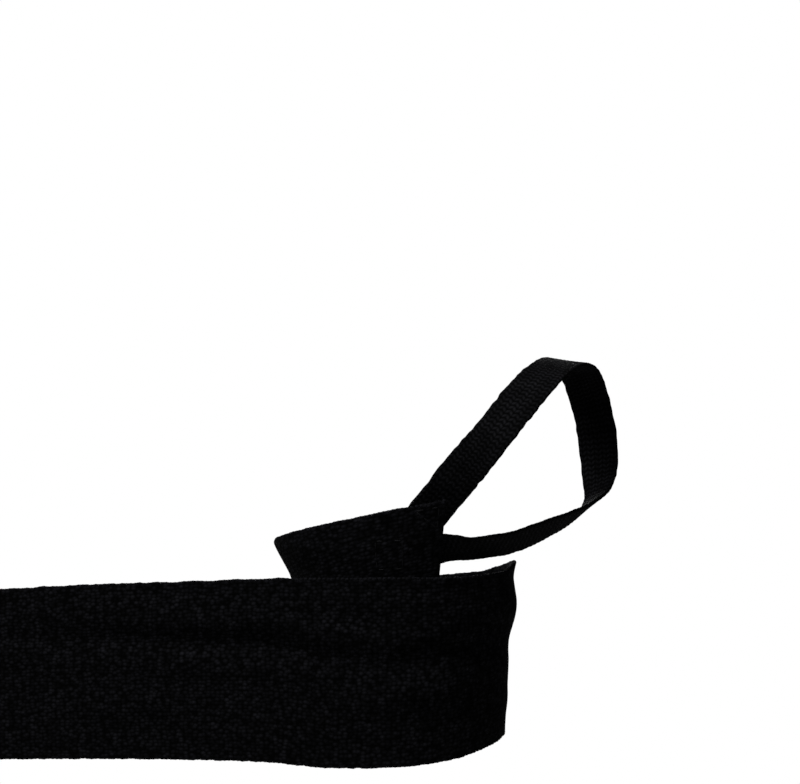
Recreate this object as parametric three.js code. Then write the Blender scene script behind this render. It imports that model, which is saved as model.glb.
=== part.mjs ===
// A boxing hand wrap in the form that it has when worn: an elastic band that starts at the front, goes once
// round into a tunnel and over its own start, and runs on as the free end, with a thumb loop sewn to it.
// Millimetres. +Z runs up the tunnel, +X to the loop's side and -Y to the front.
// The origin is the middle of the tunnel.
import * as THREE from "three";

// Driving dimensions
const BAND_THICK = 1.2;
const TAPE_WIDTH = 11.4; // the thumb loop's elastic tape
const TAPE_THICK = 1.2;
const LAYER_GAP = 0.4; // between the band's start and the turn that lies over it
const WIND_RADIUS = 26.4; // the tunnel's girth over two pi: turns a length of band into an angle
const START_TURN = -22; // degrees round the tunnel, from the middle of the front away from the loop
const LEAVE_TURN = 375; // where the free end leaves the tunnel
const CLIMB_FROM = 290; // the second turn rises over the start between these angles
const CLIMB_TO = 322;
const TAIL_LENGTH = 113;
const TAIL_FLATTEN = 60; // the free end is flat this far from the tunnel
const CREASE_REACH = 6; // from the crease's middle to its ridge and to its valley
const EDGE_ROUND = 0.8; // how far in from an edge the cloth has its full thickness
const EDGE_SHARE = 0.45; // the share of the thickness that is left at the edge itself

// How fine the faceted cloth is
const BAND_STEP = 3.2;
const BAND_COLUMNS = 13;
const TAPE_STEP = 2.5;
const TAPE_COLUMNS = 5;
const PROBE = 1e-3; // the step that normals are measured with

// The tunnel that the band is wound into: how far its wall stands from the origin at a height, away from the
// loop (left), towards it (right), to the front and to the back.
const TUNNEL = [
  { z: -32, left: 33.2, right: 29.2, front: 22.6, back: 22.6 },
  { z: -16, left: 31.6, right: 28.9, front: 21.6, back: 21.8 },
  { z: 0, left: 29.8, right: 29.9, front: 21.2, back: 21.2 },
  { z: 14, left: 28.6, right: 31.4, front: 21.4, back: 20.8 },
  { z: 26, left: 28.6, right: 30.9, front: 22.0, back: 20.6 },
  { z: 32, left: 31.4, right: 32.2, front: 22.6, back: 20.6 },
  { z: 37, left: 33.9, right: 33.2, front: 23.3, back: 20.6 },
  { z: 50, left: 37.0, right: 36.4, front: 24.8, back: 20.6 },
];

// The band from its start to its free end: the heights of its two edges, and the height and depth of the
// long crease that runs round the loop's side, over the front and along the free end.
const BAND = [
  { along: 0, top: 50.0, bottom: -1.0, creaseAt: 14, crease: 0 }, // start, at the front
  { along: 10, top: 47.6, bottom: -2.6, creaseAt: 14, crease: 0 },
  { along: 20, top: 44.7, bottom: -5.2, creaseAt: 14, crease: 0 },
  { along: 34, top: 40.9, bottom: -9.0, creaseAt: 14, crease: 0 },
  { along: 52, top: 36.5, bottom: -13.5, creaseAt: 14, crease: 0 }, // left side
  { along: 72, top: 29.6, bottom: -20.0, creaseAt: 14, crease: 0 },
  { along: 93, top: 25.2, bottom: -24.0, creaseAt: 14, crease: 0 }, // back
  { along: 114, top: 26.6, bottom: -22.4, creaseAt: 14, crease: 0.3 },
  { along: 134, top: 31.6, bottom: -18.0, creaseAt: 14, crease: 1.0 }, // right side, below the loop
  { along: 148, top: 29.4, bottom: -19.3, creaseAt: 15.5, crease: 1.0 },
  { along: 162, top: 29.1, bottom: -21.9, creaseAt: 12.5, crease: 0.9 },
  { along: 176, top: 29.2, bottom: -23.4, creaseAt: 8.5, crease: 0.8 }, // front again, over the start
  { along: 194, top: 28.8, bottom: -24.0, creaseAt: 9.5, crease: 0.9 },
  { along: 210, top: 28.2, bottom: -22.9, creaseAt: 12.8, crease: 1.0 }, // free end
  { along: 234, top: 26.7, bottom: -23.0, creaseAt: 12.8, crease: 1.0 },
  { along: 262, top: 25.3, bottom: -23.8, creaseAt: 12.5, crease: 0.7 },
  { along: 296, top: 22.9, bottom: -25.3, creaseAt: 12, crease: 0 },
];

// The thumb loop's tape from its upper sewn end, over its top bend, down its back stretch and along its lower
// limb to its lower sewn end, with both ends on the band's inner face: its middle line, and the way from
// there to one of its edges, the same one all along.
const THUMB_LOOP = [
  { along: 0, x: 7.0, y: -22.5, z: 43.8, edgeX: 0.78, edgeY: 0.19, edgeZ: -0.62 }, // upper sewn end
  { along: 9.5, x: 13.0, y: -22.3, z: 51.2, edgeX: 0.78, edgeY: 0.19, edgeZ: -0.62 },
  { along: 16, x: 17.3, y: -24.0, z: 56.7, edgeX: 0.77, edgeY: -0.08, edgeZ: -0.61 },
  { along: 31, x: 25.5, y: -28.7, z: 66.9, edgeX: 0.74, edgeY: -0.42, edgeZ: -0.53 },
  { along: 46, x: 34.3, y: -25.4, z: 77.7, edgeX: 0.81, edgeY: -0.37, edgeZ: -0.42 },
  { along: 59, x: 41.3, y: -17.0, z: 84.7, edgeX: 0.88, edgeY: -0.37, edgeZ: -0.27 },
  { along: 74, x: 47.9, y: -4.0, z: 87.9, edgeX: 0.91, edgeY: -0.36, edgeZ: -0.16 }, // top bend
  { along: 85, x: 52.6, y: 5.4, z: 85.2, edgeX: 0.94, edgeY: -0.22, edgeZ: 0.1 },
  { along: 95, x: 55.8, y: 11.4, z: 79.0, edgeX: 0.94, edgeY: -0.08, edgeZ: 0.28 },
  { along: 104, x: 58.2, y: 13.6, z: 70.4, edgeX: 0.94, edgeY: -0.06, edgeZ: 0.3 }, // back stretch
  { along: 112, x: 59.2, y: 13.0, z: 62.0, edgeX: 0.92, edgeY: -0.16, edgeZ: 0.32 },
  { along: 119, x: 59.2, y: 10.4, z: 55.4, edgeX: 0.82, edgeY: -0.46, edgeZ: 0.3 },
  { along: 126, x: 58.2, y: 6.8, z: 50.0, edgeX: 0.56, edgeY: -0.8, edgeZ: 0.26 },
  { along: 132, x: 54.8, y: 3.2, z: 46.2, edgeX: 0.18, edgeY: -0.95, edgeZ: 0.26 },
  { along: 139, x: 49.6, y: 0.2, z: 43.2, edgeX: 0.0, edgeY: -0.93, edgeZ: 0.36 },
  { along: 146, x: 43.7, y: -3.0, z: 40.8, edgeX: 0.0, edgeY: -0.88, edgeZ: 0.48 },
  { along: 153, x: 37.7, y: -6.9, z: 38.7, edgeX: 0.0, edgeY: -0.83, edgeZ: 0.56 },
  { along: 160, x: 31.9, y: -10.4, z: 37.1, edgeX: 0.0, edgeY: -0.83, edgeZ: 0.56 },
  { along: 167, x: 26.1, y: -13.4, z: 36.4, edgeX: 0.0, edgeY: -0.82, edgeZ: 0.57 },
  { along: 173, x: 20.4, y: -15.8, z: 35.9, edgeX: 0.0, edgeY: -0.82, edgeZ: 0.57 },
  { along: 179, x: 14.6, y: -17.4, z: 36.1, edgeX: 0.0, edgeY: -0.72, edgeZ: 0.69 },
  { along: 185, x: 9.0, y: -19.3, z: 35.7, edgeX: 0.0, edgeY: -0.5, edgeZ: 0.87 },
  { along: 191, x: 3.2, y: -21.0, z: 35.2, edgeX: 0.0, edgeY: -0.22, edgeZ: 0.97 },
  { along: 197, x: -2.7, y: -21.9, z: 34.9, edgeX: 0.0, edgeY: -0.13, edgeZ: 0.99 },
  { along: 201, x: -6.7, y: -21.5, z: 34.7, edgeX: 0.0, edgeY: -0.13, edgeZ: 0.99 }, // lower sewn end
];

const BLACK_COTTON = new THREE.MeshStandardMaterial({ color: 0x0d0d0f, roughness: 0.95, metalness: 0 });
const BLACK_TAPE = new THREE.MeshStandardMaterial({ color: 0x131315, roughness: 0.9, metalness: 0 });

const { degToRad, lerp, clamp, smoothstep } = THREE.MathUtils;

// A column's value between a table's rows, on a smooth curve through them.
function columnAt(rows, key, column, place) {
  const at = clamp(place, rows[0][key], rows.at(-1)[key]);
  const i = Math.min(rows.findLastIndex((row) => row[key] <= at), rows.length - 2);
  const slope = (j) => {
    const before = rows[Math.max(j - 1, 0)];
    const after = rows[Math.min(j + 1, rows.length - 1)];
    return (after[column] - before[column]) / (after[key] - before[key]);
  };
  const span = rows[i + 1][key] - rows[i][key];
  const t = (at - rows[i][key]) / span;
  const rise = t * t * (3 - 2 * t);
  const leaving = slope(i) * span * t * (1 - t) * (1 - t);
  const arriving = slope(i + 1) * span * t * t * (t - 1);
  return lerp(rows[i][column], rows[i + 1][column], rise) + leaving + arriving;
}

// A point of the tunnel's wall at an angle round it, in radians, and a height.
function tunnelPoint(turn, z) {
  const side = columnAt(TUNNEL, "z", Math.sin(turn) > 0 ? "left" : "right", z);
  const face = columnAt(TUNNEL, "z", Math.cos(turn) > 0 ? "front" : "back", z);
  return new THREE.Vector3(-side * Math.sin(turn), -face * Math.cos(turn), z);
}

const turnAt = (along) => degToRad(START_TURN) + along / WIND_RADIUS;
const LEAVE_ALONG = degToRad(LEAVE_TURN - START_TURN) * WIND_RADIUS;
const BAND_LENGTH = LEAVE_ALONG + TAIL_LENGTH;
const LEAVE_BACK = tunnelPoint(turnAt(LEAVE_ALONG - PROBE), 0);
const TAIL_WAY = tunnelPoint(turnAt(LEAVE_ALONG), 0).sub(LEAVE_BACK).normalize();

// The height of a place across the band: 0 at its lower edge, 1 at its upper one.
function heightAt(along, across) {
  const bottom = columnAt(BAND, "along", "bottom", along);
  return lerp(bottom, columnAt(BAND, "along", "top", along), across);
}

// Where the band would lie with no thickness, layers or crease: on the tunnel's wall, then straight on.
function bandBase(along, across) {
  const z = heightAt(along, across);
  const turn = turnAt(Math.min(along, LEAVE_ALONG));
  const tail = Math.max(along - LEAVE_ALONG, 0);
  const point = tunnelPoint(turn, z);
  const level = tunnelPoint(turn, 0).setZ(z);
  return point.lerp(level, smoothstep(tail, 0, TAIL_FLATTEN)).addScaledVector(TAIL_WAY, tail);
}

// How far the band's middle stands off that base: its own layer, and the crease's ridge above a flat valley.
function bandLift(along, across) {
  const climb = smoothstep(turnAt(along), degToRad(CLIMB_FROM), degToRad(CLIMB_TO));
  const off = (heightAt(along, across) - columnAt(BAND, "along", "creaseAt", along)) / CREASE_REACH;
  const wave = 1 + off * Math.exp((1 - off * off) / 2);
  const layer = BAND_THICK / 2 + climb * (BAND_THICK + LAYER_GAP);
  return layer + columnAt(BAND, "along", "crease", along) * wave;
}

// The outward normal of a surface at a place along the cloth and up across it.
function outward(pointAt, along, across) {
  const ahead = pointAt(along + PROBE, across).sub(pointAt(along - PROBE, across));
  const up = pointAt(along, across + PROBE).sub(pointAt(along, across - PROBE));
  return up.cross(ahead).normalize();
}

function bandPoint(along, across) {
  const normal = outward(bandBase, along, across);
  return { middle: bandBase(along, across).addScaledVector(normal, bandLift(along, across)), normal };
}

const LINE = ["x", "y", "z"];
const TO_EDGE = ["edgeX", "edgeY", "edgeZ"];

function tapeVector(columns, along) {
  return new THREE.Vector3(...columns.map((column) => columnAt(THUMB_LOOP, "along", column, along)));
}

function tapePoint(along, across) {
  const ahead = tapeVector(LINE, along + PROBE).sub(tapeVector(LINE, along - PROBE)).normalize();
  const normal = tapeVector(TO_EDGE, along).cross(ahead).normalize();
  const widthWay = ahead.cross(normal);
  const middle = tapeVector(LINE, along).addScaledVector(widthWay, (across - 0.5) * TAPE_WIDTH);
  return { middle, normal };
}

// Places across a cloth of a width: even columns between two edges that are rounded off.
function columnsAcross(width, count) {
  const rim = EDGE_ROUND / width;
  const inside = Array.from({ length: count }, (_, i) => lerp(rim, 1 - rim, i / (count - 1)));
  return [0, ...inside, 1];
}

// A closed strip of cloth: an outer and an inner row of points at each station, joined along and at the ends.
function clothStrip(pointAt, stations, columns, thickness) {
  const positions = [];
  const last = columns.length - 1;
  for (const station of stations) {
    for (const side of [1, -1]) {
      columns.forEach((across, i) => {
        const share = i === 0 || i === last ? EDGE_SHARE : 1;
        const { middle, normal } = pointAt(station, across);
        positions.push(...middle.addScaledVector(normal, (side * share * thickness) / 2).toArray());
      });
    }
  }
  const indices = [];
  const quad = (a, b, c, d) => indices.push(a, b, c, a, c, d);
  const ring = 2 * columns.length;
  const outer = (s, i) => s * ring + i;
  const inner = (s, i) => s * ring + columns.length + i;
  const end = stations.length - 1;
  for (let i = 0; i < last; i++) {
    for (let s = 0; s < end; s++) {
      quad(outer(s, i), outer(s, i + 1), outer(s + 1, i + 1), outer(s + 1, i));
      quad(inner(s, i), inner(s + 1, i), inner(s + 1, i + 1), inner(s, i + 1));
    }
    quad(outer(0, i), inner(0, i), inner(0, i + 1), outer(0, i + 1));
    quad(outer(end, i), outer(end, i + 1), inner(end, i + 1), inner(end, i));
  }
  for (let s = 0; s < end; s++) {
    quad(outer(s, 0), outer(s + 1, 0), inner(s + 1, 0), inner(s, 0));
    quad(outer(s, last), inner(s, last), inner(s + 1, last), outer(s + 1, last));
  }
  const geometry = new THREE.BufferGeometry();
  geometry.setAttribute("position", new THREE.Float32BufferAttribute(positions, 3));
  geometry.setIndex(indices);
  geometry.computeVertexNormals();
  return geometry;
}

function namedMesh(name, geometry, material) {
  const mesh = new THREE.Mesh(geometry, material);
  mesh.name = name;
  return mesh;
}

// Places along a length, about a step apart.
function evenly(length, step) {
  const count = Math.round(length / step);
  return Array.from({ length: count + 1 }, (_, i) => (length * i) / count);
}

const bandStations = evenly(BAND_LENGTH, BAND_STEP);
const tapeStations = evenly(THUMB_LOOP.at(-1).along, TAPE_STEP);
const bandColumns = columnsAcross(BAND[0].top - BAND[0].bottom, BAND_COLUMNS);
const tapeColumns = columnsAcross(TAPE_WIDTH, TAPE_COLUMNS);

const handWrap = new THREE.Group();
handWrap.add(
  namedMesh("wrap_band", clothStrip(bandPoint, bandStations, bandColumns, BAND_THICK), BLACK_COTTON),
  namedMesh("thumb_loop", clothStrip(tapePoint, tapeStations, tapeColumns, TAPE_THICK), BLACK_TAPE),
);

export default handWrap;
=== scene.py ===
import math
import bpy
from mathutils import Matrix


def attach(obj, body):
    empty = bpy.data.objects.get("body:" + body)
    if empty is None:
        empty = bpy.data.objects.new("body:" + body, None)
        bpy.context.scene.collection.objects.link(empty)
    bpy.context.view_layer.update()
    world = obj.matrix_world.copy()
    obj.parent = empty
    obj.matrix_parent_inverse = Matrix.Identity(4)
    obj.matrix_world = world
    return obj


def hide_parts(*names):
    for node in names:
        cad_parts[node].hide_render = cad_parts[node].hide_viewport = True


bl_info = {
    "name": "Boxing hand wrap",
    "version": (1, 0, 0),
    "blender": (4, 5, 0),
    "location": "View3D > Sidebar > Hand wrap",
    "description": "Makes the cloths of a worn boxing hand wrap, with their woven edges, seams and finishes",
    "category": "Object",
}

import bmesh
import bpy
import numpy as np
from mathutils import Vector

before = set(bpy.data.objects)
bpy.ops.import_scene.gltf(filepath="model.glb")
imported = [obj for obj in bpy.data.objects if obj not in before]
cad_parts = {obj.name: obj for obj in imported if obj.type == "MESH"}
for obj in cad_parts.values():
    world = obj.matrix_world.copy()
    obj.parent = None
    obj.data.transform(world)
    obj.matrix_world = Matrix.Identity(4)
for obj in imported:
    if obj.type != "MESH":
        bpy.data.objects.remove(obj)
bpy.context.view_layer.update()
MM = 0.001


def columns(names, rows):
    """A table's columns by name, in metres from rows in millimetres."""
    return dict(zip(names.split(), np.array(rows).T * MM))


# Form of the worn wrap, as in its solids
WIND_RADIUS = 26.4 * MM  # the tunnel's girth over two pi, which turns a length of band into an angle
GIRTH = 2 * math.pi * WIND_RADIUS
START_TURN = math.radians(-22)  # the band starts a little to the right of the front's middle
LEAVE_ALONG = math.radians(397) * WIND_RADIUS  # where the band leaves the tunnel as the free end
TAIL_LENGTH = 113 * MM
TAIL_FLATTEN = 60 * MM  # the free end stands straight this far from the tunnel
BAND_LENGTH = LEAVE_ALONG + TAIL_LENGTH
BAND_WIDTH = 51 * MM
CREASE_REACH = 6 * MM
SHARP_REACH = 3.6 * MM  # the crease is sharper in front and on the free end
LAYER_GAP = 0.4 * MM
CLIMB_RUN = 13 * MM  # the second turn rises over the start along this length
STEP_RUN = 12 * MM  # and sinks back this far below the start's lower edge
SETTLE_RUN = 30 * MM  # the free end has lost that step this far from the tunnel
PROBE = 1e-6  # the step that directions are measured with

# How far the tunnel reaches to its four sides at each height
TUNNEL = columns(
    "z left right front back",
    (
        (-32, 33.2, 29.2, 22.6, 22.6),
        (-16, 31.6, 28.9, 21.6, 21.8),
        (0, 29.8, 29.9, 21.2, 21.2),
        (14, 28.6, 31.4, 21.4, 20.8),
        (26, 28.6, 30.9, 22.0, 20.6),
        (32, 31.4, 32.2, 22.6, 20.6),
        (37, 33.9, 33.2, 23.3, 20.6),
        (50, 37.0, 36.4, 24.8, 20.6),
    ),
)
# The heights of the band's two edges and of its long crease, and how deep the crease is, at lengths along it
BAND = columns(
    "along top bottom crease_at crease",
    (
        (0, 50.0, -1.0, 14, 0),
        (10, 47.6, -2.6, 14, 0),
        (20, 44.7, -5.2, 14, 0),
        (34, 40.9, -9.0, 14, 0),
        (52, 36.5, -13.5, 14, 0),
        (72, 29.6, -20.0, 14, 0),
        (93, 25.2, -24.0, 14, 0),
        (114, 26.6, -22.4, 14, 0.3),
        (134, 31.6, -18.0, 14, 1.0),
        (148, 29.4, -19.3, 15.5, 1.0),
        (162, 29.1, -21.9, 12.5, 0.9),
        (176, 29.2, -23.4, 8.5, 0.8),
        (194, 28.8, -24.0, 9.5, 0.9),
        (210, 28.2, -22.9, 12.8, 1.0),
        (234, 26.7, -23.0, 12.8, 1.0),
        (262, 25.3, -23.8, 12.5, 0.7),
        (296, 22.9, -25.3, 12, 0),
    ),
)
# The loop's middle line, and the direction from there to one edge of the tape
THUMB_LOOP = columns(
    "along x y z edge_x edge_y edge_z",
    (
        (0, 7.0, -22.5, 43.8, 0.78, 0.19, -0.62),
        (9.5, 13.0, -22.3, 51.2, 0.78, 0.19, -0.62),
        (16, 17.3, -24.0, 56.7, 0.77, -0.08, -0.61),
        (31, 25.5, -28.7, 66.9, 0.74, -0.42, -0.53),
        (46, 34.3, -25.4, 77.7, 0.81, -0.37, -0.42),
        (59, 41.3, -17.0, 84.7, 0.88, -0.37, -0.27),
        (74, 47.9, -4.0, 87.9, 0.91, -0.36, -0.16),
        (85, 52.6, 5.4, 85.2, 0.94, -0.22, 0.1),
        (95, 55.8, 11.4, 79.0, 0.94, -0.08, 0.28),
        (104, 58.2, 13.6, 70.4, 0.94, -0.06, 0.3),
        (112, 59.2, 13.0, 62.0, 0.92, -0.16, 0.32),
        (119, 59.2, 10.4, 55.4, 0.82, -0.46, 0.3),
        (126, 58.2, 6.8, 50.0, 0.56, -0.8, 0.26),
        (132, 54.8, 3.2, 46.2, 0.18, -0.95, 0.26),
        (139, 49.6, 0.2, 43.2, 0.0, -0.93, 0.36),
        (146, 43.7, -3.0, 40.8, 0.0, -0.88, 0.48),
        (153, 37.7, -6.9, 38.7, 0.0, -0.83, 0.56),
        (160, 31.9, -10.4, 37.1, 0.0, -0.83, 0.56),
        (167, 26.1, -13.4, 36.4, 0.0, -0.82, 0.57),
        (173, 20.4, -15.8, 35.9, 0.0, -0.82, 0.57),
        (179, 14.6, -17.4, 36.1, 0.0, -0.72, 0.69),
        (185, 9.0, -19.3, 35.7, 0.0, -0.5, 0.87),
        (191, 3.2, -21.0, 35.2, 0.0, -0.22, 0.97),
        (197, -2.7, -21.9, 34.9, 0.0, -0.13, 0.99),
        (201, -6.7, -21.5, 34.7, 0.0, -0.13, 0.99),
    ),
)
# Corners of the seams that hold the loop's two ends: lengths along the tape and shares of its width
UPPER_SEAM = ((1.3 * MM, 0.2), (1.3 * MM, 0.88), (6.2 * MM, 0.57))
LOWER_SEAM = ((192.5 * MM, 0.15), (192.5 * MM, 0.85), (199.6 * MM, 0.85), (199.6 * MM, 0.15))
# Small folds that tension draws in the band: the middle of each, its length, how far it climbs on the way,
# how far it reaches to either side and how far it stands out
FOLDS = columns(
    "along height length climb reach depth",
    (
        (28, 36, 26, -3, 1.8, 0.2),
        (40, 26, 36, -6, 2.2, 0.25),
        (70, 4, 44, -6, 2.6, 0.3),
        (92, -8, 48, 3, 2.6, 0.3),
        (118, 2, 40, -4, 2.6, 0.3),
        (132, -8, 34, 3, 2.2, 0.35),
        (146, 3, 30, -3, 2.4, 0.4),
        (152, -13, 32, -2, 2.0, 0.3),
        (166, 21, 34, -3, 2.4, 0.4),
        (170, -3, 40, -5, 2.8, 0.6),
        (182, -14, 44, 2, 2.6, 0.5),
        (196, 22, 46, -1, 2.2, 0.4),
        (206, 3, 52, 2, 3.0, 0.7),
        (216, -16, 46, 1, 2.6, 0.5),
        (240, 5, 60, 1, 3.0, 0.8),
        (250, -8, 64, -3, 3.4, 0.6),
        (262, 20, 44, -2, 2.2, 0.3),
        (276, -18, 40, 1, 2.4, 0.4),
        (288, 4, 34, -4, 3.0, 0.5),
    ),
)
FOLD_FADE = 2.4  # leaves a fold about a quarter of its depth at its ends

# Crepe and uneven edges, as sums of waves
CREPE_WAVES = 36
CREPE_LENGTHS = (2.2 * MM, 4.5 * MM)
CREPE_LEAN = 0.5  # how far the waves turn from the band's length, in radians, as a root mean square
STRAY_WAVES = 16
STRAY_LENGTHS = (2.5 * MM, 14 * MM)
EDGE_STRAY = 0.065 * MM  # how far a worn edge strays from its line, as a root mean square
EDGE_REACH = 4 * MM  # and how far into the cloth that is felt

# Fineness of the meshes, and spacing of threads
BAND_ROWS = 500
BAND_COLUMNS = 56
TAPE_ROWS = 560
TAPE_COLUMNS = 50
RIM_POINTS = 5  # from a cloth's edge to the flat of its faces
SEAM_POINTS = 20  # along one side of a seam
PITCH_EASE = 0.999  # share of their pitch to which threads may close up, to fit one more on a line

# Turns of thread on the band's edges, in shares of its thickness
SELVEDGE_WRAP = 1.1  # how far a turn reaches from face to face
SELVEDGE_HEIGHT = 0.8
SELVEDGE_SINK = 0.35  # how deep its middle lies in the cloth
SELVEDGE_SPAN = 8  # columns from an edge to the points that show the way out of it

# Stitches, in shares of their pitch and of the thread's width
STITCH_LENGTH = 0.86
STITCH_HEIGHT = 0.9
STITCH_SINK = 0.2  # how far tight stitches lie below the band's face

# Sizes in the finishes
DYE_PATCH = 4 * MM  # over which dyed yarn is uneven
WEAVE_DEPTH = 0.12 * MM
FIBRE_WIDTH = 0.4 * MM  # far coarser than real fibres, so that they show
FIBRE_DEPTH = 0.1 * MM
TWISTS = 1.4  # in the width of a yarn
TWIST_DEPTH = 0.15  # share of that width
FLOOR_CLOUDS = 3  # in a metre
FLOOR_SHADE = 0.98  # share of the floor's colour that its clouds keep
FLOOR_FADE = 0.3  # share of the floor's reach where it starts to fade

# Lights and camera, in metres
SKY_PLACE = (-0.3, -0.35, 0.9)
SKY_SPREAD = math.radians(40)
KEY_PLACE = (-0.28, -0.26, 0.66)
KEY_SIZE = 0.25
RIM_PLACE = (-0.1, 0.6, 0.22)
RIM_SIZE = 0.4
CAMERA_PLACE = (1.1 * MM, -550 * MM, 79.4 * MM)
PICTURE_WIDTH = 800  # in pixels
FOCAL_LENGTH = 1925  # in the same pixels
SENSOR_WIDTH = 36  # in millimetres

# Numbers of a colour mix's sockets, whose names occur more than once
MIX_SHARE = 0
MIX_FIRST = 6
MIX_SECOND = 7
MIX_RESULT = 2


def to_linear(code):
    """An sRGB hex colour as linear RGBA."""
    shares = [int(code[i : i + 2], 16) / 255 for i in (1, 3, 5)]
    return [s / 12.92 if s <= 0.04045 else ((s + 0.055) / 1.055) ** 2.4 for s in shares] + [1.0]


def length_property(name, description, millimetres):
    """A length that the panel shows."""
    return bpy.props.FloatProperty(
        name=name, description=description, default=millimetres * MM, precision=5, unit="LENGTH"
    )


def colour_property(name, description, code):
    """A colour that the panel shows, from an sRGB hex code."""
    return bpy.props.FloatVectorProperty(
        name=name, description=description, default=to_linear(code), size=4, min=0, max=1, subtype="COLOR"
    )


class HandWrapCloth(bpy.types.PropertyGroup):
    """Sizes of the two cloths and their threads."""

    band_thickness: length_property("Band thickness", "Elastic cotton of the band", 1.2)
    tape_width: length_property("Tape width", "Elastic tape of the thumb loop", 11.4)
    tape_thickness: length_property("Tape thickness", "Elastic tape of the thumb loop", 1.2)
    edge_round: length_property("Edge round", "How far in from its edges a cloth is rounded", 0.7)
    weave_length: length_property("Weave length", "Spacing of the band's thread crowns along it", 1.3)
    weave_width: length_property("Weave width", "Spacing of the band's thread crowns across it", 1.0)
    rib_pitch: length_property("Rib pitch", "Spacing of the tape's lengthwise ribs", 1.14)
    strand_pitch: length_property("Strand pitch", "Spacing of the braided strands along a rib", 1.5)
    braid_depth: length_property("Braid depth", "How far the tape's strands stand out", 0.12)
    crinkle_depth: length_property("Crinkle depth", "How far the band's crepe stands out", 0.07)
    thread_width: length_property("Thread width", "Sewing thread", 0.42)
    stitch_pitch: length_property("Stitch pitch", "Spacing of the straight stitches", 2.6)
    selvedge_pitch: length_property("Selvedge pitch", "Spacing of the thread turns on a woven edge", 1.3)
    seed: bpy.props.IntProperty(name="Seed", description="Draws the waves of crepe and edges", default=7)


class HandWrapColours(bpy.types.PropertyGroup):
    """Colours of the cloths, the thread and the floor."""

    # Groove colours are painted shade between threads, strands and twists; crown colours and the thread
    # colour carry painted light on their tops
    cotton_groove_shade: colour_property("Cotton groove", "Between the band's threads", "#010101")
    cotton_crown_light: colour_property("Cotton crown", "Top of the band's threads", "#131316")
    tape_groove_shade: colour_property("Tape groove", "Between the tape's strands", "#010101")
    tape_crown_light: colour_property("Tape crown", "Top of the tape's strands", "#111113")
    thread: colour_property("Thread", "Sewing thread", "#141416")
    floor: colour_property("Floor", "Studio floor", "#f4f4f2")


class HandWrapStage(bpy.types.PropertyGroup):
    """Place of the floor and strength of the lights."""

    floor_drop: length_property("Floor drop", "How far below the wrap's middle the floor lies", 260)
    floor_reach: length_property("Floor reach", "Where the floor has faded out, from the wrap's middle", 600)
    sun: bpy.props.FloatProperty(name="Sun", description="Broad light from above, W/m2", default=1.5)
    key: bpy.props.FloatProperty(
        name="Key", description="Soft panel at the upper left", default=10, unit="POWER"
    )
    rim: bpy.props.FloatProperty(name="Rim", description="Soft panel behind", default=7, unit="POWER")
    room: bpy.props.FloatProperty(
        name="Room", description="Share of the white light", default=0.2, min=0, max=1, subtype="FACTOR"
    )


# Curves and surfaces


def smoothstep(value, low, high):
    """A share that goes smoothly from 0 at low to 1 at high."""
    share = np.clip((value - low) / (high - low), 0, 1)
    return share * share * (3 - 2 * share)


def unit(vectors):
    """Vectors brought to a length of 1."""
    return vectors / np.linalg.norm(vectors, axis=-1, keepdims=True)


def column_at(table, key, name, place):
    """A column's value between a table's rows, on a smooth curve through them."""
    keys, values = table[key], table[name]
    last = len(keys) - 1
    row = np.arange(last + 1)
    before, after = np.maximum(row - 1, 0), np.minimum(row + 1, last)
    slopes = (values[after] - values[before]) / (keys[after] - keys[before])
    at = np.clip(place, keys[0], keys[-1])
    i = np.clip(np.searchsorted(keys, at, side="right") - 1, 0, last - 1)
    span = keys[i + 1] - keys[i]
    t = (at - keys[i]) / span
    rise = t * t * (3 - 2 * t)
    bend = span * t * (1 - t) * (slopes[i] * (1 - t) - slopes[i + 1] * t)
    return values[i] + (values[i + 1] - values[i]) * rise + bend


def tunnel_point(turn, z):
    """A point of the tunnel's wall at an angle round it and a height."""
    sides = ("left", "right", "front", "back")
    left, right, front, back = (column_at(TUNNEL, "z", side, z) for side in sides)
    side = np.where(np.sin(turn) > 0, left, right)
    face = np.where(np.cos(turn) > 0, front, back)
    return np.stack(np.broadcast_arrays(-side * np.sin(turn), -face * np.cos(turn), z), axis=-1)


def turn_at(along):
    """The angle round the tunnel at a length along the band."""
    return START_TURN + along / WIND_RADIUS


def height_at(along, across):
    """The height at a length along the band and a share of its width."""
    bottom, top = (column_at(BAND, "along", name, along) for name in ("bottom", "top"))
    return bottom + (top - bottom) * across


def band_base(along, across):
    """Where the band would lie with no thickness, layers or folds."""
    z = height_at(along, across)
    turn = turn_at(np.minimum(along, LEAVE_ALONG))
    tail = np.maximum(along - LEAVE_ALONG, 0)[..., None]
    point = tunnel_point(turn, z)
    level = tunnel_point(turn, np.zeros_like(z))
    level[..., 2] = z
    leaving = turn_at(np.array([LEAVE_ALONG - PROBE, LEAVE_ALONG]))
    way = unit(np.diff(tunnel_point(leaving, np.zeros(2)), axis=0))[0]
    return point + (level - point) * smoothstep(tail, 0, TAIL_FLATTEN) + way * tail


def outward(surface, along, across):
    """The way straight out of a surface."""
    ahead = surface(along + PROBE, across) - surface(along - PROBE, across)
    up = surface(along, across + PROBE) - surface(along, across - PROBE)
    return unit(np.cross(up, ahead))


def layer_lift(along, z, thickness):
    """How far the second turn is held off the tunnel's wall by the start that it lies over."""
    over_start = smoothstep(along, GIRTH - CLIMB_RUN, GIRTH)
    lower_edge = column_at(BAND, "along", "bottom", along - GIRTH)
    on_start = smoothstep(z, lower_edge - STEP_RUN, lower_edge)
    settled = smoothstep(along, LEAVE_ALONG, LEAVE_ALONG + SETTLE_RUN)
    return (thickness + LAYER_GAP) * over_start * np.maximum(on_start, settled)


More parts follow.
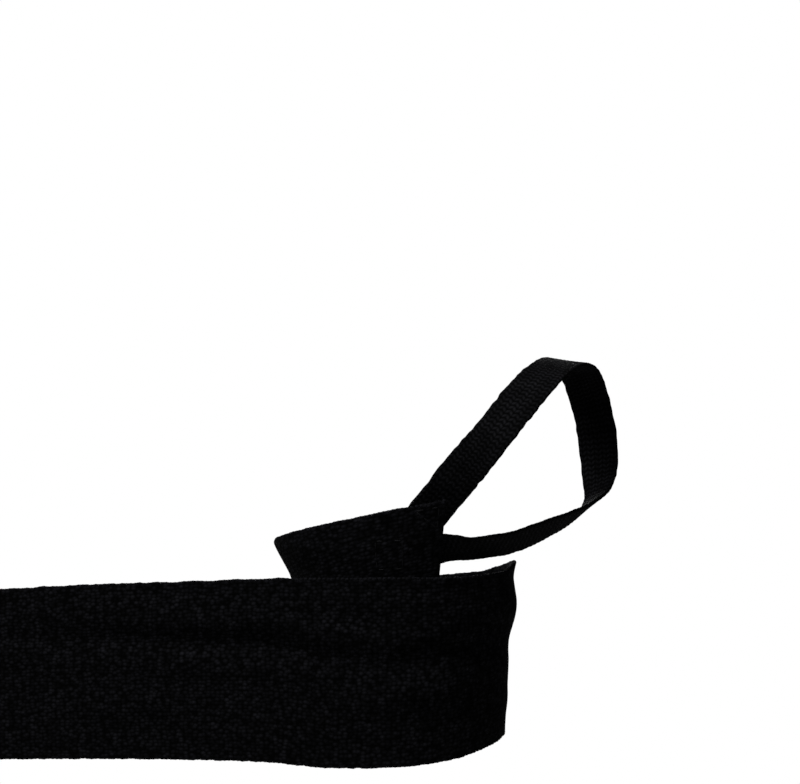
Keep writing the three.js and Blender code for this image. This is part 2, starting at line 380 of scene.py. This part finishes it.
def fold_lift(along, z):
    """The long crease, a ridge with a groove below it, and the small folds beside it."""
    in_front = smoothstep(along, GIRTH - 2 * CLIMB_RUN, GIRTH)
    off = z - column_at(BAND, "along", "crease_at", along)
    off = off / (CREASE_REACH + (SHARP_REACH - CREASE_REACH) * in_front)
    lift = column_at(BAND, "along", "crease", along) * (1 + off * np.exp((1 - off * off) / 2))
    for middle, height, length, climb, reach, depth in zip(*FOLDS.values()):
        share = (along - middle) / length
        beside = (z - height - climb * share) / reach
        lift = lift + depth * np.exp(-((FOLD_FADE * share) ** 2) - beside * beside / 2)
    return lift


def crinkle(along, z, seed):
    """Crepe that the elastic draws up, from 0 to 1: many small waves, with ridges mostly across the band."""
    draw = np.random.default_rng(seed)
    total = np.zeros_like(z)
    for _ in range(CREPE_WAVES):
        turns = 2 * math.pi / draw.uniform(*CREPE_LENGTHS)
        lean = draw.normal(0, CREPE_LEAN)
        phase = draw.uniform(0, 2 * math.pi)
        total += np.cos(turns * (along * math.cos(lean) + z * math.sin(lean)) + phase)
    usual = math.sqrt(CREPE_WAVES / 2)  # the sum's root mean square, and twice that reaches 0 or 1
    return np.clip(0.5 + total / (4 * usual), 0, 1)


def stray(along, seed):
    """How far an edge strays from its line, in waves of many lengths."""
    draw = np.random.default_rng(seed)
    total = np.zeros_like(along)
    for _ in range(STRAY_WAVES):
        turns = 2 * math.pi / math.exp(draw.uniform(*np.log(STRAY_LENGTHS)))
        phase = draw.uniform(0, 2 * math.pi)
        total += np.cos(turns * along + phase)
    usual = math.sqrt(STRAY_WAVES / 2)
    return EDGE_STRAY * total / usual


def uneven(along, across, width, seed):
    """Shares of a cloth's width, with its long edges made a little uneven, each from a seed of its own."""
    reach = EDGE_REACH / width
    low = stray(along, seed + 1) * smoothstep(across, reach, 0)
    high = stray(along, seed + 2) * smoothstep(across, 1 - reach, 1)
    return across + (low + high) / width


def braid(along, sideways, rib_pitch, strand_pitch):
    """The height of a braid's strands, from 0 to 1. They slant one way in a rib and the other in the next."""
    rib = sideways / rib_pitch
    slant = np.abs(rib % 2 - 1)
    strand = 0.5 + 0.5 * np.cos(2 * math.pi * (along / strand_pitch + slant / 2))
    return strand * np.sqrt(np.abs(np.sin(math.pi * rib)))


def band_surface(along, across, cloth):
    """The band's middle surface over a grid: its points, normals and crepe."""
    across = uneven(along, across, BAND_WIDTH, cloth.seed)
    z = height_at(along, across)
    crepe = crinkle(along, z, cloth.seed)
    lift = layer_lift(along, z, cloth.band_thickness) + fold_lift(along, z)
    lift += cloth.band_thickness / 2 + cloth.crinkle_depth * (crepe - 0.5)
    points = band_base(along, across) + outward(band_base, along, across) * lift[..., None]
    normals = unit(np.cross(np.gradient(points, axis=1), np.gradient(points, axis=0)))
    return points, normals, crepe


def tape_vector(names, along):
    """Three columns of the loop's table as vectors."""
    return np.stack([column_at(THUMB_LOOP, "along", name, along) for name in names.split()], axis=-1)


def tape_surface(along, across, cloth):
    """The thumb loop's middle surface: points and normals."""
    across = uneven(along, across, cloth.tape_width, cloth.seed + 2)  # past the band's two seeds
    ahead = unit(tape_vector("x y z", along + PROBE) - tape_vector("x y z", along - PROBE))
    normals = unit(np.cross(tape_vector("edge_x edge_y edge_z", along), ahead))
    sideways = ((across - 0.5) * cloth.tape_width)[..., None]
    return tape_vector("x y z", along) + np.cross(ahead, normals) * sideways, normals


# Meshes


def line_lengths(points):
    """The distance along a line of points, from its first."""
    steps = np.linalg.norm(np.diff(points, axis=0), axis=-1)
    return np.concatenate(([0.0], np.cumsum(steps)))


def rounded_places(size, rim, count):
    """Places along a side of a cloth, close together in its rounded rims, and shares of thickness there."""
    curve = rim * (1 - np.cos(np.linspace(0, math.pi / 2, RIM_POINTS)))
    places = np.concatenate((curve[:-1], np.linspace(rim, size - rim, count), size - curve[-2::-1]))
    from_edge = np.minimum(np.minimum(places, size - places) / rim, 1)
    return places, np.sqrt(np.maximum(1 - (1 - from_edge) ** 2, 0))


def plain_piece(name, points, edges, faces, material):
    """An object in the scene with a smooth mesh, and with a material if one is given."""
    mesh = bpy.data.meshes.new(name)
    mesh.from_pydata(np.asarray(points).tolist(), edges, faces)
    mesh.shade_smooth()
    if material:
        mesh.materials.append(material)
    piece = bpy.data.objects.new(name, mesh)
    bpy.context.collection.objects.link(piece)
    return piece


def cell_corners(grid):
    """The four corners of each cell of a grid, in the order that turns its faces outward."""
    return np.stack((grid[:-1, :-1], grid[:-1, 1:], grid[1:, 1:], grid[1:, :-1]), axis=2)


def cloth_strip(name, points, normals, half, sideways, crown, material):
    """A closed strip of cloth round a grid of middle points. Its map named cloth lies on it in metres,
    first on the outer face and then back on the inner one, and its attribute named crown is its relief."""
    columns_across = len(sideways)
    ring = np.concatenate((np.arange(columns_across), np.arange(columns_across - 2, 0, -1)))
    outer = np.arange(len(ring)) < columns_across
    shell = points[:, ring] + normals[:, ring] * (half[:, ring] * np.where(outer, 1, -1))[..., None]
    numbers = np.arange(shell.shape[0] * shell.shape[1]).reshape(shell.shape[:2])
    numbers = np.concatenate((numbers, numbers[:, :1]), axis=1)
    faces = cell_corners(numbers).reshape(-1, 4).tolist()
    piece = plain_piece(name, shell.reshape(-1, 3), [], faces, material)
    lengths = line_lengths(points[:, columns_across // 2])
    girth = 2 * sideways[-1]
    round_ring = np.append(np.where(outer, sideways[ring], girth - sideways[ring]), girth)
    places = np.stack(np.meshgrid(lengths, round_ring, indexing="ij"), axis=-1)
    cloth_map = piece.data.uv_layers.new(name="cloth")
    cloth_map.uv.foreach_set("vector", cell_corners(places).ravel().astype(np.float32))
    relief = piece.data.attributes.new("crown", "FLOAT", "POINT")
    relief.data.foreach_set("value", crown[:, ring].ravel().astype(np.float32))
    close_ends(piece.data)
    return piece


def close_ends(mesh):
    """Joins the outer and inner faces where they meet at a strip's ends."""
    weld = bmesh.new()
    weld.from_mesh(mesh)
    bmesh.ops.remove_doubles(weld, verts=weld.verts, dist=PROBE)
    closed = all(edge.is_manifold for edge in weld.edges)
    weld.to_mesh(mesh)
    weld.free()
    if not closed:
        raise RuntimeError(f"The strip {mesh.name} is not closed")


# Finishes


def add_node(tree, kind, inputs=None, **settings):
    """Adds a node with settings. Inputs go by name or number, and a node given as one is its first output."""
    node = tree.nodes.new(kind)
    for name, value in settings.items():
        setattr(node, name, value)
    for name, value in (inputs or {}).items():
        if isinstance(value, bpy.types.Node):
            value = value.outputs[0]
        if isinstance(value, bpy.types.NodeSocket):
            tree.links.new(value, node.inputs[name])
        else:
            node.inputs[name].default_value = value
    return node


def new_material(name, values):
    """A material, its nodes, and its shader with plain values on its own sockets."""
    material = bpy.data.materials.new(name)
    material.use_nodes = True
    shader = material.node_tree.nodes["Principled BSDF"]
    for socket, value in values.items():
        shader.inputs[socket].default_value = value
    return material, material.node_tree, shader


def shade(tree, shader, place, height, colours, roughness):
    """Colour and roughness from a cloth's grooves to its crowns, with painted shade in the grooves and
    painted light on the crowns, and uneven as dyed yarn is.
    """
    dye = add_node(tree, "ShaderNodeTexNoise", {"Vector": place, "Scale": 1 / DYE_PATCH, "Detail": 4.0})
    uneven_dye = {"Value": dye, "From Min": 0.3, "From Max": 0.7, "To Min": 0.3}
    worn = add_node(tree, "ShaderNodeMapRange", uneven_dye)
    share = add_node(tree, "ShaderNodeMath", {0: height, 1: worn}, operation="MULTIPLY")
    groove, crown = (tuple(colour) for colour in colours)
    # painted shade in the grooves, painted light on the crowns
    shades = {MIX_SHARE: share, MIX_FIRST: groove, MIX_SECOND: crown}
    mixed = add_node(tree, "ShaderNodeMix", shades, data_type="RGBA")
    tree.links.new(mixed.outputs[MIX_RESULT], shader.inputs["Base Color"])
    low, high = roughness
    rough = add_node(tree, "ShaderNodeMapRange", {"Value": height, "To Min": low, "To Max": high})
    tree.links.new(rough.outputs[0], shader.inputs["Roughness"])


def emboss(tree, shader, relief, depth):
    """A relief of a real depth on a shader's normal."""
    bump = add_node(tree, "ShaderNodeBump", {"Height": relief, "Strength": 1.0, "Distance": depth})
    tree.links.new(bump.outputs[0], shader.inputs["Normal"])


def black_elastic_cotton(cloth, colours):
    """Cotton woven with elastane: matt and almost black, with fine uneven crowns where threads cross, painted
    lighter than the grooves, and painted lighter on the crepe's ridges than in its hollows, as painted light
    and shade.
    Real threads lie about 0.5 mm apart, and are drawn twice as coarse so that they show."""
    material, tree, shader = new_material(
        "Black elastic cotton, woven crepe",
        {"IOR": 1.46, "Specular IOR Level": 0.012, "Sheen Weight": 0.003, "Sheen Roughness": 0.5},
    )
    place = add_node(tree, "ShaderNodeUVMap", uv_map="cloth")
    pitches = (1 / cloth.weave_length, 1 / cloth.weave_width, 0)
    cells = add_node(tree, "ShaderNodeVectorMath", {0: place, 1: pitches}, operation="MULTIPLY")
    knots = add_node(tree, "ShaderNodeTexVoronoi", {"Vector": cells, "Scale": 1.0, "Randomness": 0.65})
    threads = add_node(tree, "ShaderNodeMapRange", {"Value": knots, "From Min": 0.7, "From Max": 0.1})
    crepe = add_node(tree, "ShaderNodeAttribute", attribute_name="crown").outputs["Fac"]
    # painted light on the crepe's ridges and painted shade in its hollows
    lit = add_node(tree, "ShaderNodeMapRange", {"Value": crepe, "To Min": 0.5, "To Max": 1.2})
    height = add_node(tree, "ShaderNodeMath", {0: threads, 1: lit}, operation="MULTIPLY")
    shade(tree, shader, place, height, (colours.cotton_groove_shade, colours.cotton_crown_light), (0.98, 0.88))
    emboss(tree, shader, threads, WEAVE_DEPTH)
    return material


def black_elastic_tape(colours):
    """Braided elastic: slanting strands over rubber cores, whose crowns catch more light than the cotton and
    are painted lighter than the grooves, as painted light and shade.
    They are about twice as coarse as real ones so that they show."""
    material, tree, shader = new_material(
        "Black elastic tape, braided",
        {"IOR": 1.46, "Specular IOR Level": 0.01, "Sheen Weight": 0.001, "Sheen Roughness": 0.45},
    )
    place = add_node(tree, "ShaderNodeUVMap", uv_map="cloth")
    strands = add_node(tree, "ShaderNodeAttribute", attribute_name="crown").outputs["Fac"]
    shade(tree, shader, place, strands, (colours.tape_groove_shade, colours.tape_crown_light), (0.95, 0.75))
    fibres = add_node(tree, "ShaderNodeTexNoise", {"Vector": place, "Scale": 1 / FIBRE_WIDTH, "Detail": 3.0})
    emboss(tree, shader, fibres, FIBRE_DEPTH)
    return material


def black_yarn(name, values, width, colours, roughness):
    """Twisted yarn: fine fibres, smoother than cloth, so that each turn has a faint shine of its own, with
    painted light on each turn's crown and painted shade in the twist's grooves.
    """
    material, tree, shader = new_material(name, values)
    place = add_node(tree, "ShaderNodeTexCoord").outputs["Object"]
    twist = add_node(tree, "ShaderNodeTexNoise", {"Vector": place, "Scale": TWISTS / width, "Detail": 3.0})
    shade(tree, shader, place, twist, colours, roughness)
    emboss(tree, shader, twist, width * TWIST_DEPTH)
    return material


def pale_studio_paper(colours, reach):
    """Matt paper: even and pale, with a very faint cloudiness, and fading into the white room."""
    material, tree, shader = new_material("Pale studio paper", {"Roughness": 0.9, "Specular IOR Level": 0.2})
    place = add_node(tree, "ShaderNodeTexCoord").outputs["Object"]
    cloud = add_node(tree, "ShaderNodeTexNoise", {"Vector": place, "Scale": FLOOR_CLOUDS, "Detail": 2.0})
    floor = Vector(colours.floor)
    shades = {MIX_SHARE: cloud, MIX_FIRST: tuple(floor * FLOOR_SHADE), MIX_SECOND: tuple(floor)}
    mixed = add_node(tree, "ShaderNodeMix", shades, data_type="RGBA")
    tree.links.new(mixed.outputs[MIX_RESULT], shader.inputs["Base Color"])
    away = add_node(tree, "ShaderNodeVectorMath", {0: place}, operation="LENGTH").outputs["Value"]
    rim = {"Value": away, "From Min": reach, "From Max": reach * FLOOR_FADE}
    fade = add_node(tree, "ShaderNodeMapRange", rim, interpolation_type="SMOOTHSTEP")
    tree.links.new(fade.outputs[0], shader.inputs["Alpha"])
    return material


# Threads that follow lines


def thread_tree():
    """Geometry nodes that lay rounded bits of thread along lines: end to end, or turned round an edge."""
    tree = bpy.data.node_groups.new("Thread along lines", "GeometryNodeTree")
    sockets = {
        "Lines": "NodeSocketGeometry",
        "Pitch": "NodeSocketFloat",
        "Size": "NodeSocketVector",
        "Round Edge": "NodeSocketBool",
        "Thread": "NodeSocketMaterial",
    }
    for name, kind in sockets.items():
        tree.interface.new_socket(name, in_out="INPUT", socket_type=kind)
    tree.interface.new_socket("Threads", in_out="OUTPUT", socket_type="NodeSocketGeometry")
    given = add_node(tree, "NodeGroupInput").outputs
    curves = add_node(tree, "GeometryNodeMeshToCurve", {"Mesh": given["Lines"]})
    spots = add_node(
        tree, "GeometryNodeResampleCurve", {"Curve": curves, "Length": given["Pitch"]}, mode="LENGTH"
    )
    tangent = add_node(tree, "GeometryNodeInputTangent")
    up = add_node(tree, "GeometryNodeInputNamedAttribute", {"Name": "thread_up"}, data_type="FLOAT_VECTOR")
    over = add_node(tree, "ShaderNodeVectorMath", {0: tangent, 1: up}, operation="CROSS_PRODUCT")
    choice = {"Switch": given["Round Edge"], "False": tangent, "True": over}
    way = add_node(tree, "GeometryNodeSwitch", choice, input_type="VECTOR")
    aimed = add_node(tree, "FunctionNodeAlignRotationToVector", {"Vector": way}, axis="X")
    turned = add_node(
        tree, "FunctionNodeAlignRotationToVector", {"Rotation": aimed, "Vector": up}, axis="Z", pivot_axis="X"
    )
    ball = add_node(tree, "GeometryNodeMeshUVSphere", {"Segments": 8, "Rings": 6, "Radius": 0.5})
    bits = add_node(
        tree,
        "GeometryNodeInstanceOnPoints",
        {"Points": spots, "Instance": ball, "Rotation": turned, "Scale": given["Size"]},
    )
    real = add_node(tree, "GeometryNodeRealizeInstances", {"Geometry": bits})
    smooth = add_node(tree, "GeometryNodeSetShadeSmooth", {"Geometry": real})
    made = add_node(tree, "GeometryNodeSetMaterial", {"Geometry": smooth, "Material": given["Thread"]})
    add_node(tree, "NodeGroupOutput", {"Threads": made})
    return tree


def shortened(line, ups, by):
    """A line of points without a length at either end, and the ways off the cloth on it."""
    lengths = line_lengths(line)
    last = lengths[-1] - by
    kept = np.concatenate(([by], lengths[(lengths > by) & (lengths < last)], [last]))
    return [np.stack([np.interp(kept, lengths, part) for part in rows.T], axis=-1) for rows in (line, ups)]


def thread_piece(name, lines, material, pitch, size, round_edge=False):
    """One mesh of thread bits on lines of points, each given with the ways off the cloth at its points."""
    lines = [shortened(*line, pitch / 2) for line in lines]
    ends = np.cumsum([len(line) for line, _ in lines])
    points = np.concatenate([line for line, _ in lines])
    edges = [(i, i + 1) for i in range(len(points) - 1) if i + 1 not in ends]
    piece = plain_piece(name, points, edges, [], None)
    ways = piece.data.attributes.new("thread_up", "FLOAT_VECTOR", "POINT")
    ways.data.foreach_set("vector", np.concatenate([up for _, up in lines]).ravel().astype(np.float32))
    tree = bpy.data.node_groups.get("Thread along lines") or thread_tree()
    values = {"Pitch": pitch * PITCH_EASE, "Size": size, "Round Edge": round_edge, "Thread": material}
    modifier = piece.modifiers.new("threads", "NODES")
    modifier.node_group = tree
    for socket in tree.interface.items_tree:
        if socket.name in values:
            modifier[socket.identifier] = values[socket.name]
    evaluated = piece.evaluated_get(bpy.context.evaluated_depsgraph_get())
    mesh = bpy.data.meshes.new_from_object(evaluated)
    if not mesh.polygons:
        raise RuntimeError(f"No thread was laid for {name}")
    mesh.materials.pop(index=0)  # the ball's own empty slot
    piece.modifiers.clear()
    piece.data = mesh
    return piece


# Pieces, stage and panel


def dress(slot, *pieces):
    """Sets finished pieces on the frame; the slot is not used."""
    for piece in pieces:
        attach(piece, "root")


class HANDWRAP_OT_band(bpy.types.Operator):
    """Make the band: one turn round the tunnel, over its own start, and on as the free end"""

    bl_idname = "handwrap.band"
    bl_label = "Band and its woven edges"

    def execute(self, context):
        cloth, colours = context.scene.hand_wrap_cloth, context.scene.hand_wrap_colours
        along, end_share = rounded_places(BAND_LENGTH, cloth.edge_round, BAND_ROWS)
        sideways, side_share = rounded_places(BAND_WIDTH, cloth.edge_round, BAND_COLUMNS)
        grid = np.meshgrid(along, sideways / BAND_WIDTH, indexing="ij")
        points, normals, crepe = band_surface(*grid, cloth)
        half = cloth.band_thickness / 2 * np.outer(end_share, side_share)
        cotton = black_elastic_cotton(cloth, colours)
        band = cloth_strip("band_cloth", points, normals, half, sideways, crepe, cotton)
        selvedge = self.selvedge(points, cloth, colours)
        dress("black_elastic_cotton", band, selvedge)
        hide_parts("wrap_band")
        return {"FINISHED"}

    def selvedge(self, points, cloth, colours):
        """Turns of thread round the band's two long edges, sunk into them but for a little."""
        lines = []
        thickness, pitch = cloth.band_thickness, cloth.selvedge_pitch
        for edge, inside in ((0, SELVEDGE_SPAN), (-1, -1 - SELVEDGE_SPAN)):
            ups = unit(points[:, edge] - points[:, inside])
            lines.append((points[:, edge] - ups * thickness * SELVEDGE_SINK, ups))
        size = Vector((thickness * SELVEDGE_WRAP, pitch, thickness * SELVEDGE_HEIGHT))
        # painted shade in the selvedge's twists and painted light on its turns
        cotton = black_yarn(
            "Black cotton yarn, selvedge",
            {"IOR": 1.46, "Specular IOR Level": 0.012},
            pitch,
            (colours.cotton_groove_shade, colours.cotton_crown_light),
            (0.98, 0.9),
        )
        return thread_piece("band_selvedge", lines, cotton, pitch, size, round_edge=True)


class HANDWRAP_OT_thumb_loop(bpy.types.Operator):
    """Make the thumb loop's tape and the seams of its two sewn ends"""

    bl_idname = "handwrap.thumb_loop"
    bl_label = "Thumb loop and its seams"

    def execute(self, context):
        cloth, colours = context.scene.hand_wrap_cloth, context.scene.hand_wrap_colours
        along, end_share = rounded_places(THUMB_LOOP["along"][-1], cloth.edge_round, TAPE_ROWS)
        sideways, side_share = rounded_places(cloth.tape_width, cloth.edge_round, TAPE_COLUMNS)
        grid = np.meshgrid(along, sideways / cloth.tape_width, indexing="ij")
        points, normals = tape_surface(*grid, cloth)
        strands = braid(grid[0], sideways, cloth.rib_pitch, cloth.strand_pitch)
        half = cloth.tape_thickness / 2 - cloth.braid_depth * (1 - strands)
        half = half * np.outer(end_share, side_share)
        elastic = black_elastic_tape(colours)
        tape = cloth_strip("loop_tape", points, normals, half, sideways, strands, elastic)
        # painted shade in the thread's twists and painted light on its turns
        thread = black_yarn(
            "Black polyester sewing thread, twisted",
            {"IOR": 1.57, "Specular IOR Level": 0.03},
            cloth.thread_width,
            (colours.tape_groove_shade, colours.thread),
            (0.7, 0.5),
        )
        seams = self.seams(cloth, thread)
        dress("black_elastic_tape", tape, seams)
        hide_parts("thumb_loop")
        return {"FINISHED"}

    def seams(self, cloth, thread):
        """Straight stitches round both sewn ends, on the tape's bare face and on the band's outer face."""
        lines = []
        for corners in (np.array(UPPER_SEAM), np.array(LOWER_SEAM)):
            for start, end in zip(corners, np.roll(corners, -1, axis=0)):
                points, normals = tape_surface(*np.linspace(start, end, SEAM_POINTS).T, cloth)
                lines.append((points - normals * cloth.tape_thickness / 2, -normals))
                lines.append(self.through_band(points, cloth))
        pitch, width = cloth.stitch_pitch, cloth.thread_width
        size = Vector((pitch * STITCH_LENGTH, width, width * STITCH_HEIGHT))
        return thread_piece("loop_seams", lines, thread, pitch, size)

    def through_band(self, points, cloth):
        """Where threads from points on the tape come out of the band, and the ways off it there."""
        x, z = points[:, 0], points[:, 2]
        left, right = (column_at(TUNNEL, "z", side, z) for side in ("left", "right"))
        turn = np.arcsin(-x / np.where(x < 0, left, right))
        ways = outward(tunnel_point, turn, z)
        out = cloth.band_thickness - cloth.thread_width * STITCH_SINK
        return tunnel_point(turn, z) + ways * out, ways


class HANDWRAP_OT_stage(bpy.types.Operator):
    """Set a pale floor below the wrap, soft studio light and the camera"""

    bl_idname = "handwrap.stage"
    bl_label = "Stage"

    def execute(self, context):
        scene, stage = context.scene, context.scene.hand_wrap_stage
        reach = stage.floor_reach
        sides = ((-1, -1), (1, -1), (1, 1), (-1, 1))
        corners = [(x * reach, y * reach, -stage.floor_drop) for x, y in sides]
        paper = pale_studio_paper(scene.hand_wrap_colours, reach)
        plain_piece("floor", corners, [], [(0, 1, 2, 3)], paper)
        self.add_light("SUN", "sky_panel", SKY_PLACE, energy=stage.sun, angle=SKY_SPREAD)
        self.add_light("AREA", "key_panel", KEY_PLACE, energy=stage.key, size=KEY_SIZE)
        self.add_light("AREA", "rim_panel", RIM_PLACE, energy=stage.rim, size=RIM_SIZE)
        self.add_camera(scene)
        self.white_room(scene, stage.room)
        return {"FINISHED"}

    def add_light(self, kind, name, place, **settings):
        """A light that shines from a place towards the origin."""
        lamp = bpy.data.lights.new(name, kind)
        for setting, value in settings.items():
            setattr(lamp, setting, value)
        light = bpy.data.objects.new(name, lamp)
        light.location = place
        light.rotation_euler = (-light.location).to_track_quat("-Z", "Y").to_euler()
        bpy.context.collection.objects.link(light)

    def add_camera(self, scene):
        """Straight in front and level, with a long lens."""
        lens = bpy.data.cameras.new("front")
        lens.sensor_fit = "HORIZONTAL"
        lens.sensor_width = SENSOR_WIDTH
        lens.lens = SENSOR_WIDTH * FOCAL_LENGTH / PICTURE_WIDTH
        camera = bpy.data.objects.new("front", lens)
        camera.location = CAMERA_PLACE
        camera.rotation_euler = (math.pi / 2, 0, 0)
        bpy.context.collection.objects.link(camera)
        scene.camera = camera

    def white_room(self, scene, share):
        """A white surround that is bright behind the wrap and lights it more gently."""
        world = bpy.data.worlds.new("white room")
        world.use_nodes = True
        tree = world.node_tree
        seen = add_node(tree, "ShaderNodeLightPath").outputs["Is Camera Ray"]
        strength = add_node(tree, "ShaderNodeMapRange", {"Value": seen, "To Min": share, "To Max": 1.0})
        tree.links.new(strength.outputs[0], tree.nodes["Background"].inputs["Strength"])
        tree.nodes["Background"].inputs["Color"].default_value = to_linear("#ffffff")
        scene.world = world
        scene.view_settings.view_transform = "Standard"


class HANDWRAP_PT_panel(bpy.types.Panel):
    """Lists the wrap's pieces, and the sizes, colours and lights that they are made with"""

    bl_idname = "HANDWRAP_PT_panel"
    bl_label = "Hand wrap"
    bl_space_type = "VIEW_3D"
    bl_region_type = "UI"
    bl_category = "Hand wrap"

    def draw(self, context):
        scene = context.scene
        for settings in (scene.hand_wrap_cloth, scene.hand_wrap_colours, scene.hand_wrap_stage):
            for name in settings.__annotations__:
                self.layout.prop(settings, name)
        for piece in (HANDWRAP_OT_stage, HANDWRAP_OT_band, HANDWRAP_OT_thumb_loop):
            self.layout.operator(piece.bl_idname)


CLASSES = (
    HandWrapCloth,
    HandWrapColours,
    HandWrapStage,
    HANDWRAP_OT_band,
    HANDWRAP_OT_thumb_loop,
    HANDWRAP_OT_stage,
    HANDWRAP_PT_panel,
)


def register():
    for each in CLASSES:
        bpy.utils.register_class(each)
    bpy.types.Scene.hand_wrap_cloth = bpy.props.PointerProperty(type=HandWrapCloth)
    bpy.types.Scene.hand_wrap_colours = bpy.props.PointerProperty(type=HandWrapColours)
    bpy.types.Scene.hand_wrap_stage = bpy.props.PointerProperty(type=HandWrapStage)


def unregister():
    del bpy.types.Scene.hand_wrap_stage
    del bpy.types.Scene.hand_wrap_colours
    del bpy.types.Scene.hand_wrap_cloth
    for each in reversed(CLASSES):
        bpy.utils.unregister_class(each)


def main():
    register()
    bpy.ops.handwrap.stage()
    bpy.ops.handwrap.band()
    bpy.ops.handwrap.thumb_loop()


if __name__ == "__main__":
    main()
